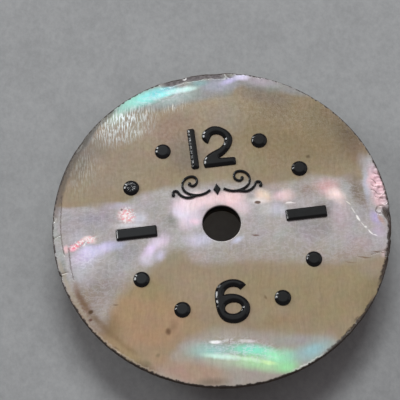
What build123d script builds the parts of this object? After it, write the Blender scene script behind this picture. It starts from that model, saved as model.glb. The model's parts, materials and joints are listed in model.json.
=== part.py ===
"""Mother-of-pearl dial for a small wristwatch movement.

A thin disc of pearl is glued to a brass backing plate. Two copper feet are
riveted through the plate, and the hour markers, the numerals and an ornament
of scrolls stand proud of the pearl.

Frame: millimetres, origin at the centre of the hand hole on the underside of
the backing plate, which is the face that rests on the movement. +Z points out
of the dial's face, +Y to 12 o'clock and +X to 3 o'clock.
"""
from build123d import *
import math
import os

# Driving dimensions: the stack, from the movement outwards
DIAL_D = 18.0
HAND_HOLE_D = 2.05
PLATE_T = 0.40
GLUE_T = 0.03
PEARL_T = 0.35
MARK_H = 0.15

# Radial sizes of the stack
PLATE_D = DIAL_D - 1.4
GLUE_D = PLATE_D - 0.1
GLUE_HOLE_D = HAND_HOLE_D + 0.5
RIM_BEVEL = 0.06
HOLE_BEVEL = 0.03
PLATE_BEVEL = 0.05

# Dial feet
FOOT_D = 0.70
FOOT_LENGTH = 1.80
FOOT_CIRCLE_R = 7.20
FOOT_MINUTES = {"dial_foot_right": 15.67, "dial_foot_left": 40.67}
FOOT_HEAD_D = 1.10
FOOT_HEAD_DEPTH = 0.30
FOOT_TIP_BEVEL = 0.08

# Hour markers
DOT_D = 0.87
DOT_CIRCLE_R = 5.27
DOT_HOURS = (1, 2, 4, 5, 7, 8, 10, 11)
BAR_LENGTH = 2.20
BAR_WIDTH = 0.65
BAR_CORNER_R = 0.08
BAR_CIRCLE_R = 4.55
BAR_HOURS = (3, 9)
MARK_EDGE_R = 0.06

# Numerals
NUMERAL_BASE_Y = {"12": 3.30, "6": -5.64}
NUMERAL_H = 2.42
STROKE_W = 0.42
ONE_X = -0.99
ONE_CORNER_R = 0.13
FOOT_BAR_CORNER_R = 0.10

# Ornament between the numeral 12 and the hand hole; an arc is a radius and a turn in degrees
SCROLL_W = 0.13
SCROLL_H = 0.10
SCROLL_BALL_R = 0.10
SCROLL_START = (0.36, 1.98)
SCROLL_HEADING = -38.0
SCROLL_ARCS = ((1.05, 72.0), (0.52, 150.0), (0.28, 170.0), (0.15, 90.0))
TAIL_START = (1.00, 1.76)
TAIL_HEADING = 0.0
TAIL_ARCS = ((0.90, -20.0), (0.62, 88.0), (0.15, -190.0))
LOZENGE_HALF = (0.20, 0.34)

# Levels worked out from the stack
PEARL_Z = PLATE_T + GLUE_T
FACE_Z = PEARL_Z + PEARL_T


def at_hour(hour, radius):
    """Point on the dial at an hour of the clock face."""
    angle = math.radians(90 - 30 * hour)
    return radius * math.cos(angle), radius * math.sin(angle)


def foot_places():
    """Centre of each dial foot, by node name."""
    return {name: at_hour(minute / 5, FOOT_CIRCLE_R) for name, minute in FOOT_MINUTES.items()}


def ring(outer_d, inner_d, z, thickness):
    """Flat ring whose underside is at z."""
    face = Circle(outer_d / 2) - Circle(inner_d / 2)
    return extrude(Pos(0, 0, z) * face, thickness)


def rims(solid, z, diameter):
    """Circular edges of a solid at one height and one diameter."""
    circles = solid.edges().filter_by(GeomType.CIRCLE)
    near = [e for e in circles if abs(e.radius - diameter / 2) < 0.01]
    return [e for e in near if abs(e.center().Z - z) < 0.001]


def pearl_disc():
    disc = ring(DIAL_D, HAND_HOLE_D, PEARL_Z, PEARL_T)
    disc = chamfer(rims(disc, FACE_Z, DIAL_D), RIM_BEVEL)
    return chamfer(rims(disc, FACE_Z, HAND_HOLE_D), HOLE_BEVEL)


def adhesive_film():
    return ring(GLUE_D, GLUE_HOLE_D, PLATE_T, GLUE_T)


def foot_shape(x, y):
    """Foot with a conical rivet head that ends flush with the plate's top."""
    radius = FOOT_D / 2
    outline = Polyline(
        (0, -FOOT_LENGTH),
        (radius - FOOT_TIP_BEVEL, -FOOT_LENGTH),
        (radius, -FOOT_LENGTH + FOOT_TIP_BEVEL),
        (radius, PLATE_T - FOOT_HEAD_DEPTH),
        (FOOT_HEAD_D / 2, PLATE_T),
        (0, PLATE_T),
        close=True,
    )
    return Pos(x, y, 0) * revolve(Plane.XZ * make_face(outline), Axis.Z)


def backing_plate():
    plate = ring(PLATE_D, HAND_HOLE_D, 0, PLATE_T)
    plate = chamfer(rims(plate, 0, PLATE_D), PLATE_BEVEL)
    for x, y in foot_places().values():
        plate -= foot_shape(x, y)
    return plate


def raised(face, height=MARK_H, edge_r=MARK_EDGE_R):
    """Mark standing on the pearl, with its upper edge rounded."""
    solid = extrude(Pos(0, 0, FACE_Z) * face, height)
    return fillet(solid.edges().group_by(Axis.Z)[-1], edge_r)


def dot_marker(hour):
    x, y = at_hour(hour, DOT_CIRCLE_R)
    return raised(Pos(x, y) * Circle(DOT_D / 2))


def bar_marker(hour):
    x, y = at_hour(hour, BAR_CIRCLE_R)
    return raised(Pos(x, y) * RectangleRounded(BAR_LENGTH, BAR_WIDTH, BAR_CORNER_R))


def numeral_one():
    centre_y = NUMERAL_BASE_Y["12"] + NUMERAL_H / 2
    return raised(Pos(ONE_X, centre_y) * RectangleRounded(STROKE_W, NUMERAL_H, ONE_CORNER_R))


def numeral_two():
    """Round bowl, sloping neck and straight foot, drawn from the numeral's lower left."""
    top, foot = NUMERAL_H, STROKE_W + 0.04
    tip, shoulder, crotch = (0.34, 1.42), (0.34, 2.28), (0.80, 0.50)
    waist_start, waist_end, corner, heel = (0.0, 0.0), (0.50, 1.74), (1.71, 0.0), (1.71, foot)
    outline = [
        ThreePointArc(tip, (0.05, 1.88), shoulder),
        Spline(shoulder, (0.87, top), (1.69, 1.62), (1.36, 0.88), crotch),
        Line(crotch, heel),
        Line(heel, corner),
        Line(corner, waist_start),
        Spline(waist_start, (0.06, 0.60), (0.52, 0.92), (1.10, 1.24), (1.23, 1.60), (0.85, 1.93), waist_end),
        Line(waist_end, tip),
    ]
    face = make_face(Curve() + outline)
    bar_end = [face.vertices().sort_by_distance(point)[0] for point in (corner, heel)]
    return raised(Pos(-0.48, NUMERAL_BASE_Y["12"]) * fillet(bar_end, FOOT_BAR_CORNER_R))


def numeral_six():
    """Closed bowl with a short arm over it, drawn from the middle of its lower edge."""
    arm_tip, arm_heel = (0.82, 2.04), (0.50, 1.79)
    bowl_start = (-0.38, 1.62)
    outline = [
        Spline(arm_tip, (0.42, 2.37), (-0.10, NUMERAL_H), (-0.68, 2.12), (-0.89, 1.20), (-0.62, 0.26),
               (0.0, 0.0), (0.64, 0.24), (0.88, 0.84), (0.60, 1.38), (0.10, 1.62), bowl_start),
        ThreePointArc(bowl_start, (-0.02, 2.00), arm_heel),
        Line(arm_heel, arm_tip),
    ]
    face = make_face(Curve() + outline) - Pos(0.01, 0.84) * Ellipse(0.43, 0.31)
    return raised(Pos(0, NUMERAL_BASE_Y["6"]) * face)


def arc_chain(start, heading, arcs):
    """Arcs that follow on from each other smoothly; each is a radius and a turn."""
    path, point = [], Vector(*start)
    direction = Vector(1, 0).rotate(Axis.Z, heading)
    for radius, turn in arcs:
        arc = JernArc(point, direction, radius, turn)
        path.append(arc)
        point, direction = arc @ 1, arc % 1
    return path


def stroke_face(start, heading, arcs):
    """Pen stroke along a chain of arcs, ending in a round ball."""
    path = arc_chain(start, heading, arcs)
    return trace(Curve() + path, SCROLL_W) + Pos(path[-1] @ 1) * Circle(SCROLL_BALL_R)


def ornament_scroll(side):
    """Half ornament, at the right for side +1 and mirrored to the left for side -1."""
    scroll = stroke_face(SCROLL_START, SCROLL_HEADING, SCROLL_ARCS)
    tail = stroke_face(TAIL_START, TAIL_HEADING, TAIL_ARCS)
    solid = extrude(Pos(0, 0, FACE_Z) * (scroll + tail), SCROLL_H)
    return solid if side > 0 else mirror(solid, Plane.YZ)


def ornament_lozenge():
    half_w, half_h = LOZENGE_HALF
    y = SCROLL_START[1]
    corners = [(half_w, y), (0, y + half_h), (-half_w, y), (0, y - half_h)]
    face = make_face(Polyline(*corners, close=True))
    return raised(face, SCROLL_H, SCROLL_H / 3)


def make_nodes():
    nodes = {
        "pearl_disc": pearl_disc(),
        "adhesive_film": adhesive_film(),
        "backing_plate": backing_plate(),
        "numeral_one": numeral_one(),
        "numeral_two": numeral_two(),
        "numeral_six": numeral_six(),
        "ornament_scroll_left": ornament_scroll(-1),
        "ornament_scroll_right": ornament_scroll(1),
        "ornament_lozenge": ornament_lozenge(),
    }
    for name, (x, y) in foot_places().items():
        nodes[name] = foot_shape(x, y)
    for hour in DOT_HOURS:
        nodes[f"marker_dot_{hour}"] = dot_marker(hour)
    for hour in BAR_HOURS:
        nodes[f"marker_bar_{hour}"] = bar_marker(hour)
    return nodes


os.makedirs("parts", exist_ok=True)
for node_name, node_shape in make_nodes().items():
    export_step(node_shape, f"parts/{node_name}.step")
    print(node_name, round(node_shape.volume, 4))
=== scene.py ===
"""Looks of a mother-of-pearl watch dial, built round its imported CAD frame.

Places on the dial are millimetres in the CAD frame: x to 3 o'clock, y to 12 o'clock, z out of
the face. Meshes are built in millimetres and stored in metres.
"""
import json
import math

import bpy
import numpy as np
from mathutils import Euler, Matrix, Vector
from mathutils.kdtree import KDTree


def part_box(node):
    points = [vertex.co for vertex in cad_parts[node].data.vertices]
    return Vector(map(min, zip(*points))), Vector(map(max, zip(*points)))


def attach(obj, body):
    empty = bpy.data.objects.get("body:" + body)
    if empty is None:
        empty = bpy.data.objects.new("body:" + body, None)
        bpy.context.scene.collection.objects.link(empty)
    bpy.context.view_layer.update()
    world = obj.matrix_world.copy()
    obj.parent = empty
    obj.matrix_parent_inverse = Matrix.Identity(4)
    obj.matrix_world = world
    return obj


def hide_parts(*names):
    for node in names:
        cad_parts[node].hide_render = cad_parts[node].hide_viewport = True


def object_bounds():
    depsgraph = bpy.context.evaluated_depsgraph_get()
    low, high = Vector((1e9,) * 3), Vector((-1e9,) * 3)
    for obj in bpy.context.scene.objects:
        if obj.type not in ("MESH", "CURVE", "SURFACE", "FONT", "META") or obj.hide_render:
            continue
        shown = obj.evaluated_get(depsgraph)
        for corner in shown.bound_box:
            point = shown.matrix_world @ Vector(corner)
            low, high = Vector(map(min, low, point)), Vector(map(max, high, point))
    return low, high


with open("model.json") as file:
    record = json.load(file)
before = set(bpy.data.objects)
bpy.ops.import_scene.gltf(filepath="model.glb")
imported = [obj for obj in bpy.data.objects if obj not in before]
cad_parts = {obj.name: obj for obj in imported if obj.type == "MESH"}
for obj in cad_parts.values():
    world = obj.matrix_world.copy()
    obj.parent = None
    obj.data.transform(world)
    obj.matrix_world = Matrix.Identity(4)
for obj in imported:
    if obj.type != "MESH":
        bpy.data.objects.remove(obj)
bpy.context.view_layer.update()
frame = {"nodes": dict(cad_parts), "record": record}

MM = 0.001

# Sizes read from the CAD frame, in millimetres
PEARL_LOW, PEARL_HIGH = (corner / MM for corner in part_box("pearl_disc"))
DIAL_R = PEARL_HIGH.x
FACE_Z = PEARL_HIGH.z
UNDER_Z = PEARL_LOW.z
MOUNTS = {mount["name"]: mount for mount in frame["record"]["mounts"]}
HOLE_R = MOUNTS["centre_hole"]["dims"]["r_mm"]
FOOT_R = MOUNTS["foot_right"]["dims"]["r_mm"]


# ---------------------------------------- colour and node helpers

# Highest reflectance of any colour
MAX_REFLECTANCE = 0.95


def linear(value):
    """Linear value of a screen colour's channel, which runs from 0 to 255."""
    value /= 255
    return value / 12.92 if value <= 0.04045 else ((value + 0.055) / 1.055) ** 2.4


def tone(red, green, blue):
    """Surface colour that shows as this screen colour, lying flat under the scene's lights."""
    return tuple(min(linear(channel), MAX_REFLECTANCE) for channel in (red, green, blue)) + (1.0,)


# Reach of the borders' points to each side of the dial's centre, in millimetres
BORDER_REACH = 9

# Turn of the nacre's upright grain, in degrees
NACRE_LEAN = 7.5


class Shade:
    """A material whose nodes are added one call at a time; most calls give back an output."""

    def __init__(self, name):
        self.material = bpy.data.materials.new(name)
        self.material.use_nodes = True
        self.tree = self.material.node_tree
        self.bsdf = self.tree.nodes["Principled BSDF"]
        # Place on the object in millimetres, and the same place without its height
        coordinates = self.tree.nodes.new("ShaderNodeTexCoord").outputs["Object"]
        self.place = self.vector("MULTIPLY", coordinates, (1 / MM,) * 3)
        self.flat = self.vector("MULTIPLY", self.place, (1, 1, 0))

    def put(self, socket, value):
        """Links a socket to an output, or sets it to a plain value."""
        if isinstance(value, bpy.types.NodeSocket):
            self.tree.links.new(value, socket)
        else:
            socket.default_value = value

    def add(self, kind, inputs, **settings):
        node = self.tree.nodes.new(kind)
        for name, value in settings.items():
            setattr(node, name, value)
        for name, value in inputs.items():
            self.put(node.inputs[name], value)
        return node

    def math(self, operation, a, b=0.0):
        return self.add("ShaderNodeMath", {0: a, 1: b}, operation=operation).outputs[0]

    def times(self, a, b):
        return self.math("MULTIPLY", a, b)

    def most(self, a, b):
        return self.math("MAXIMUM", a, b)

    def vector(self, operation, a, b):
        return self.add("ShaderNodeVectorMath", {0: a, 1: b}, operation=operation).outputs[0]

    def length(self, a):
        return self.add("ShaderNodeVectorMath", {0: a}, operation="LENGTH").outputs["Value"]

    def split(self, where):
        """The x, y and z of a place, as three outputs."""
        return self.add("ShaderNodeSeparateXYZ", {0: where}).outputs

    def stored(self, name):
        """Number that the mesh keeps for each of its points under a name."""
        return self.add("ShaderNodeAttribute", {}, attribute_name=name).outputs["Fac"]

    def noise(self, where, scale, detail=2.0, roughness=0.5, colour=False):
        node = self.add("ShaderNodeTexNoise", {"Vector": where, "Scale": scale, "Detail": detail,
                                               "Roughness": roughness})
        return node.outputs["Color" if colour else "Fac"]

    def cells(self, where, scale):
        """Distance to the nearest of many scattered points."""
        return self.add("ShaderNodeTexVoronoi", {"Vector": where, "Scale": scale}).outputs["Distance"]

    def fit(self, value, low, high, to_low=0.0, to_high=1.0, kind="SMOOTHSTEP"):
        """Value carried from the range low to high to another range, and kept within it."""
        inputs = {"Value": value, "From Min": low, "From Max": high, "To Min": to_low,
                  "To Max": to_high}
        return self.add("ShaderNodeMapRange", inputs, interpolation_type=kind).outputs["Result"]

    def mix(self, factor, a, b, blend="MIX"):
        node = self.add("ShaderNodeMix", {}, data_type="RGBA", blend_type=blend)
        for index, value in ((0, factor), (6, a), (7, b)):
            self.put(node.inputs[index], value)
        return node.outputs[2]

    def vary(self, colour, noise, share):
        """Colour made darker or lighter by a share, following a noise."""
        level = self.fit(noise, 0.25, 0.75, kind="LINEAR")
        shades = self.mix(level, (1 - share,) * 3 + (1,), (1 + share,) * 3 + (1,))
        return self.mix(1.0, colour, shades, "MULTIPLY")

    def stretch(self, where, scale, turn=0.0):
        """Where, scaled along each axis and then turned by some degrees."""
        return self.add("ShaderNodeMapping", {"Vector": where, "Rotation": (0, 0, math.radians(turn)),
                                              "Scale": scale}).outputs[0]

    def lean(self, where):
        """Where, turned so that what is upright in it leans a little to 1 o'clock on the face."""
        return self.stretch(where, (1, 1, 1), NACRE_LEAN)

    def warp(self, where, scale, amount):
        """Where, shifted by a noise that has the given scale on the face."""
        shift = self.vector("SUBTRACT", self.noise(self.flat, scale, colour=True), (0.5, 0.5, 0.5))
        return self.vector("ADD", where, self.vector("MULTIPLY", shift, (2 * amount, 2 * amount, 0)))

    def patch(self, where, x, y, rx, ry, turn=0.0, core=0.0, strength=1.0):
        """Mask that is strength inside core of an ellipse and fades to 0 at its edge."""
        ellipse = {"Vector": where, "Location": (x, y, 0), "Scale": (rx, ry, 1),
                   "Rotation": (0, 0, math.radians(turn))}
        inner = self.add("ShaderNodeMapping", ellipse, vector_type="TEXTURE").outputs[0]
        ball = self.add("ShaderNodeTexGradient", {"Vector": inner}, gradient_type="SPHERICAL")
        return self.fit(ball.outputs["Fac"], 0.0, 1.0 - core, 0.0, strength)

    def above(self, where, border, soft):
        """Mask that is 1 on the 12 o'clock side of a border given as points from 9 to 3 o'clock."""
        x, y, _ = self.split(where)
        reach = BORDER_REACH
        curve = self.add("ShaderNodeFloatCurve", {"Value": self.fit(x, -reach, reach, kind="LINEAR")})
        line = curve.mapping.curves[0]
        places = [((px + reach) / (2 * reach), (py + reach) / (2 * reach)) for px, py in border]
        line.points[0].location, line.points[1].location = places[0], places[-1]
        for place in places[1:-1]:
            line.points.new(*place)
        curve.mapping.update()
        level = self.fit(curve.outputs[0], 0, 1, -reach, reach, "LINEAR")
        return self.fit(self.math("DIVIDE", self.math("SUBTRACT", y, level), soft), -1, 1)

    def bump(self, height, distance, strength, under=None):
        """Normal of a relief whose depth is a distance in millimetres, on top of another normal."""
        inputs = {"Height": height, "Distance": distance * MM, "Strength": strength}
        if under:
            inputs["Normal"] = under
        return self.add("ShaderNodeBump", inputs).outputs[0]

    def finish(self, **sockets):
        """Sets the shader's own sockets and gives back the material."""
        for name, value in sockets.items():
            self.put(self.bsdf.inputs[name.replace("_", " ")], value)
        return self.material


# ---------------------------------------- mesh helpers

def make_piece(name, points, faces, material):
    """Mesh object from millimetre points, riding on the dial's one body."""
    mesh = bpy.data.meshes.new(name)
    mesh.from_pydata((np.asarray(points) * MM).tolist(), [], faces)
    mesh.validate()
    piece = bpy.data.objects.new(name, mesh)
    bpy.context.scene.collection.objects.link(piece)
    mesh.materials.append(material)
    mesh.polygons.foreach_set("use_smooth", [True] * len(mesh.polygons))
    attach(piece, "root")
    return piece


def store(piece, name, values):
    """Keeps one number per point on the mesh, for its material to read."""
    attribute = piece.data.attributes.new(name, "FLOAT", "POINT")
    attribute.data.foreach_set("value", np.asarray(values, dtype=np.float32))


def loop_faces(rings, around, closed=False):
    """Quads between rings of points, each ring having as many points; closed joins last to first."""
    faces = []
    for ring in range(rings if closed else rings - 1):
        low, high = ring * around, (ring + 1) % rings * around
        for i in range(around):
            j = (i + 1) % around
            faces.append((low + i, low + j, high + j, high + i))
    return faces


def wave_noise(angle, seed, turns):
    """Smooth noise round a circle, between about -1 and 1, from a few seeded sine waves."""
    random = np.random.default_rng(seed)
    total = np.zeros_like(angle)
    for count in turns:
        total += np.sin(count * angle + random.uniform(0, 2 * math.pi)) * random.uniform(0.4, 1.0)
    return total / len(turns)


# ---------------------------------------- pearl disc: shape

# Points round the disc, and the width of its rounded rim and of the hole's bevel
AROUND = 960
RIM_BEVEL = 0.05
HOLE_BEVEL = 0.03

# The face lies this far under the CAD face, and wear goes no deeper than this
FACE_SUNK, DEEPEST_WEAR = 0.01, 0.2

# Rings of the face: width of the worn rim, steps there and further in, and margin left at the hole
WORN_WIDTH, FINE_STEP, COARSE_STEP, HOLE_MARGIN = 0.95, 0.03, 0.2, 0.35

# Cracks in the face: points, half width and depth
CRACKS = [
    ([(-8.32, 2.6), (-8.4, 1.9), (-8.48, 1.3), (-8.53, 0.7), (-8.54, 0.05), (-8.5, -0.4),
      (-8.46, -0.75)], 0.045, 0.03),
    ([(-8.2, -0.42), (-8.2, -1.0), (-8.18, -1.6), (-8.1, -2.2)], 0.045, 0.035),
    ([(-8.94, 0.24), (-8.72, 0.36), (-8.54, 0.42)], 0.05, 0.015),
    ([(-8.8, -1.84), (-8.62, -1.76), (-8.34, -1.74)], 0.05, 0.015),
    ([(8.66, -0.06), (8.48, -0.06), (8.32, -0.14), (8.23, -0.31), (8.3, -0.46), (8.46, -0.5)],
     0.05, 0.03),
    ([(8.55, -0.4), (8.62, -0.62), (8.78, -0.9), (8.84, -1.4)], 0.05, 0.03),
    ([(8.2, 0.92), (8.38, 0.84), (8.5, 0.64), (8.84, 0.58)], 0.045, 0.03),
    ([(8.52, 1.88), (8.66, 1.8), (8.82, 1.74)], 0.055, 0.03),
    ([(8.28, 1.18), (8.42, 1.07), (8.64, 1.02)], 0.045, 0.025),
    ([(8.3, 1.52), (8.43, 1.44), (8.5, 1.28)], 0.045, 0.025),
    ([(8.38, 0.5), (8.52, 0.42), (8.74, 0.36)], 0.045, 0.025),
    ([(1.36, 8.86), (1.44, 8.68), (1.58, 8.56)], 0.06, 0.03),
    ([(8.48, -2.58), (8.05, -2.66), (7.6, -2.76)], 0.04, 0.015),
]

# Shallow shell-shaped flakes lost from the face: x, y, radii, turn and depth
FLAKES = [
    (8.62, 1.98, 0.34, 0.22, 70, 0.04),
    (8.7, 1.42, 0.26, 0.3, 85, 0.05),
    (8.42, 1.24, 0.22, 0.16, 20, 0.03),
    (8.72, 0.84, 0.22, 0.26, 90, 0.05),
    (8.5, 0.62, 0.24, 0.18, 40, 0.04),
    (8.72, 0.22, 0.22, 0.28, 90, 0.05),
    (8.4, -0.28, 0.15, 0.15, 0, 0.03),
    (8.76, -0.5, 0.17, 0.42, 12, 0.12),
    (8.42, -2.74, 0.16, 0.22, -20, 0.05),
    (8.82, -1.7, 0.1, 0.4, -10, 0.08),
    (8.38, -3.3, 0.12, 0.3, -22, 0.07),
    (8.7, -2.4, 0.12, 0.26, -15, 0.07),
    (-8.82, 1.4, 0.14, 0.22, 0, 0.04),
    (-8.78, -1.98, 0.14, 0.1, 0, 0.08),
    (-7.12, 5.45, 0.12, 0.34, -38, 0.04),
    (2.15, 8.78, 0.3, 0.12, -12, 0.05),
    (3.1, 8.44, 0.24, 0.08, -20, 0.04),
    (5.8, -6.75, 0.26, 0.1, 40, 0.04),
    (6.28, -6.25, 0.2, 0.12, 45, 0.05),
    (-6.25, -6.3, 0.22, 0.1, -45, 0.03),
]

# Ledge at the top of the rim, where the upper layer has broken away: from, to, inner radius, drop
LEDGE_FROM, LEDGE_TO = math.radians(81.5), math.radians(105.5)
LEDGE_INNER_R, LEDGE_DROP = 8.64, 0.08

# Notches in the outline: direction in degrees, half angle in degrees, depth
NOTCHES = [
    (-2.6, 1.7, 0.04),
    (-12.3, 1.4, 0.04),
    (-19.0, 1.2, 0.05),
    (192.3, 0.9, 0.07),
    (97.0, 3.2, 0.05),
    (85.5, 2.6, 0.03),
    (171.6, 0.9, 0.03),
    (-45.5, 1.0, 0.03),
    (48.0, 1.2, 0.02),
    (140.5, 1.4, 0.03),
]


def rim_radius(angle):
    """Radius of the worn outline in each direction."""
    radius = DIAL_R + 0.010 + 0.010 * wave_noise(angle, 3, (5, 9, 17, 40, 90))
    for direction, half, depth in NOTCHES:
        off = np.degrees(np.abs((angle - math.radians(direction) + math.pi) % (2 * math.pi) - math.pi))
        radius = radius - depth * np.clip(1 - off / half, 0, 1) ** 0.8
    return radius


def distance_to_line(x, y, points):
    """Distance of each place from a line through points."""
    best = np.full(x.shape, 1e9)
    for (ax, ay), (bx, by) in zip(points, points[1:]):
        dx, dy = bx - ax, by - ay
        along = np.clip(((x - ax) * dx + (y - ay) * dy) / (dx * dx + dy * dy), 0, 1)
        best = np.minimum(best, np.hypot(x - ax - along * dx, y - ay - along * dy))
    return best


def crack_depth(x, y):
    """Depth of the cracks, and a mask that is 1 in the middle of a crack."""
    wander_x = 0.012 * np.sin(23 * x + 4 * np.sin(9 * y)) + 0.008 * np.sin(41 * y)
    depth, mask = np.zeros(x.shape), np.zeros(x.shape)
    for points, half, deep in CRACKS:
        near = np.clip(1 - distance_to_line(x + wander_x, y, points) / half, 0, 1)
        depth = np.maximum(depth, deep * near * near * (3 - 2 * near))
        mask = np.maximum(mask, near)
    return depth, mask


def flake_depth(x, y):
    """How far each point of the face lies under the surface that was there before the flakes."""
    depth = np.zeros(x.shape)
    for cx, cy, rx, ry, turn, deep in FLAKES:
        c, s = math.cos(math.radians(turn)), math.sin(math.radians(turn))
        u, v = (c * (x - cx) + s * (y - cy)) / rx, (-s * (x - cx) + c * (y - cy)) / ry
        inside = np.clip(1.6 * (1 - u * u - v * v), 0, 1)
        ripples = 1 + 0.2 * np.sin(8 * np.hypot(u + 1.2, v))
        depth = np.maximum(depth, deep * inside * inside * (3 - 2 * inside) * ripples)
    return depth


def ledge_depth(x, y):
    """How far each point of the face lies under it on the broken ledge."""
    angle = np.arctan2(y, x)
    ragged = LEDGE_INNER_R + 0.03 * np.sin(5 * x) + 0.015 * np.sin(13 * x + 1)
    across = np.clip((np.hypot(x, y) - ragged) / 0.08, 0, 1)
    along = np.clip((angle - LEDGE_FROM) / 0.03, 0, 1) * np.clip((LEDGE_TO - angle) / 0.05, 0, 1)
    return LEDGE_DROP * across * along


def face_height(x, y, rim_gap):
    """Height of the pearl's face at points that lie rim_gap inside its rim."""
    swell = 0.006 * np.sin(0.9 * x + 0.6) * np.cos(0.7 * y - 0.4) + 0.003 * np.sin(2.1 * y + 0.8 * x)
    rounding = RIM_BEVEL * (1 - np.sqrt(np.clip(1 - np.clip(1 - rim_gap / RIM_BEVEL, 0, 1) ** 2, 0, 1)))
    drop = np.maximum(flake_depth(x, y), ledge_depth(x, y)) + crack_depth(x, y)[0] + rounding
    return FACE_Z - FACE_SUNK + swell - np.minimum(drop, DEEPEST_WEAR)


def face_gaps():
    """Distances inside the rim of the face's rings of points, close together where it is worn."""
    gaps = [0.0, 0.006, 0.014, 0.026, 0.042, 0.062, 0.085]
    while gaps[-1] < WORN_WIDTH:
        gaps.append(gaps[-1] + FINE_STEP)
    while gaps[-1] < DIAL_R - HOLE_R - HOLE_MARGIN:
        gaps.append(gaps[-1] + COARSE_STEP)
    return gaps


def pearl_rings(angle):
    """Rings of points: face from the rim to the hole, hole wall, underside, and back up the rim."""
    cos, sin, rim = np.cos(angle), np.sin(angle), rim_radius(angle)
    hole = HOLE_R + 0.004 * wave_noise(angle, 8, (6, 11, 23))

    def ring(radius, height):
        return np.stack([radius * cos, radius * sin, np.broadcast_to(height, angle.shape)], axis=1)

    def face_ring(radius):
        return ring(radius, face_height(radius * cos, radius * sin, rim - radius))

    rings = [face_ring(rim - gap) for gap in face_gaps()]
    rings += [face_ring(HOLE_R + gap + 0 * angle) for gap in (0.14, 0.06, HOLE_BEVEL)]
    wall = (FACE_Z - 0.045, FACE_Z - 0.12, FACE_Z - 0.2, UNDER_Z + 0.02)
    rings += [ring(hole, height) for height in wall]
    rings += [ring(radius + 0 * angle, UNDER_Z) for radius in (HOLE_R + 0.02, 2.5, 4.5, 6.5, 8.0)]
    rings.append(ring(rim - 0.03, UNDER_Z))
    edge_top = face_height(rim * cos, rim * sin, 0 * angle)
    for step, share in enumerate((0.08, 0.3, 0.5, 0.7, 0.9)):
        chatter = 0.004 * wave_noise(angle, 20 + step, (31, 57, 111, 170))
        rings.append(ring(rim - 0.004 + chatter, UNDER_Z + share * (edge_top - UNDER_Z)))
    return rings


def build_pearl(material):
    """Closed disc of pearl that keeps its wear as numbers on its points, for the material."""
    angle = np.linspace(0, 2 * math.pi, AROUND, endpoint=False)
    rings = pearl_rings(angle)
    points = np.concatenate(rings)
    faces = loop_faces(len(rings), AROUND, closed=True)
    piece = make_piece("pearl_shell", points, faces, material)
    piece.data.flip_normals()
    x, y, z = points.T
    on_face = (z > UNDER_Z + 0.06) * 1.0
    gap = np.clip(np.tile(rim_radius(angle), len(rings)) - np.hypot(x, y), 0, 1)
    store(piece, "rim_gap", gap * on_face)
    store(piece, "crack", crack_depth(x, y)[1] * on_face)
    store(piece, "worn", np.clip(flake_depth(x, y) / 0.05, 0, 1) * on_face)
    store(piece, "ledge", ledge_depth(x, y) / LEDGE_DROP * on_face)
    wall = (gap < 0.02) | (np.hypot(x, y) < HOLE_R + 0.01)
    store(piece, "side", np.clip((FACE_Z - 0.04 - z) / 0.04, 0, 1) * wall)
    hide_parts("pearl_disc")


# ---------------------------------------- pearl disc: material

# Each patch is an ellipse on the face: x, y, two radii, turn in degrees, share of it that is solid,
# strength and screen colour.

# Tan ground, lighter and darker from place to place
GROUND = [
    (5.0, 5.2, 6.16, 4.4, 0, 0.3, 0.9, (134, 118, 88)),
    (7.6, 3.9, 1.43, 2.64, 28, 0.1, 0.7, (114, 97, 78)),
    (-5.6, 4.0, 3.96, 2.64, 0, 0.2, 0.8, (147, 133, 115)),
    (-2.0, 5.8, 1.98, 1.76, 0, 0.1, 0.8, (142, 120, 103)),
    (0.9, 6.1, 1.8, 1.5, 0, 0.1, 0.7, (150, 140, 125)),
    (-2.6, 3.2, 1.76, 1.1, 0, 0.1, 0.6, (146, 130, 104)),
    (-4.6, -4.8, 3.96, 2.53, -20, 0.3, 0.9, (166, 138, 108)),
    (-4.2, -3.2, 1.76, 0.99, -20, 0.2, 0.7, (152, 136, 100)),
    (-6.6, 5.3, 1.3, 1.3, -40, 0.2, 0.7, (126, 116, 106)),
    (-7.4, 4.4, 0.9, 1.6, -30, 0.2, 0.7, (112, 104, 94)),
    (-1.2, 4.2, 1.6, 1.9, 0, 0.2, 0.7, (118, 107, 96)),
    (7.4, 4.5, 0.8, 1.3, 30, 0.2, 0.7, (98, 80, 60)),
    (7.1, -4.8, 1.1, 1.8, -35, 0.1, 0.8, (118, 104, 78)),
    (-6.8, -4.8, 1.1, 1.5, 38, 0.1, 0.85, (132, 108, 80)),
    (-3.0, -7.8, 2.1, 0.95, -18, 0.2, 0.7, (170, 143, 126)),
    (-5.8, -6.4, 1.98, 0.55, -42, 0.1, 0.7, (160, 138, 104)),
    (-1.6, -3.6, 1.98, 1.54, 0, 0.1, 0.7, (160, 142, 118)),
    (1.8, -4.0, 1.98, 1.76, 0, 0.1, 0.7, (152, 136, 104)),
    (5.2, -4.6, 3.74, 2.64, 0, 0.3, 0.8, (151, 136, 105)),
    (7.6, -3.6, 1.1, 0.88, -20, 0.1, 0.7, (156, 142, 126)),
    (2.2, -5.75, 1.8, 0.6, 0, 0.0, 0.75, (148, 126, 98)),
    (6.3, 5.5, 1.8, 1.6, 0, 0.0, 0.6, (114, 100, 72)),
    (4.0, 6.4, 2.2, 0.9, -20, 0.0, 0.6, (118, 102, 74)),
]

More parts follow.
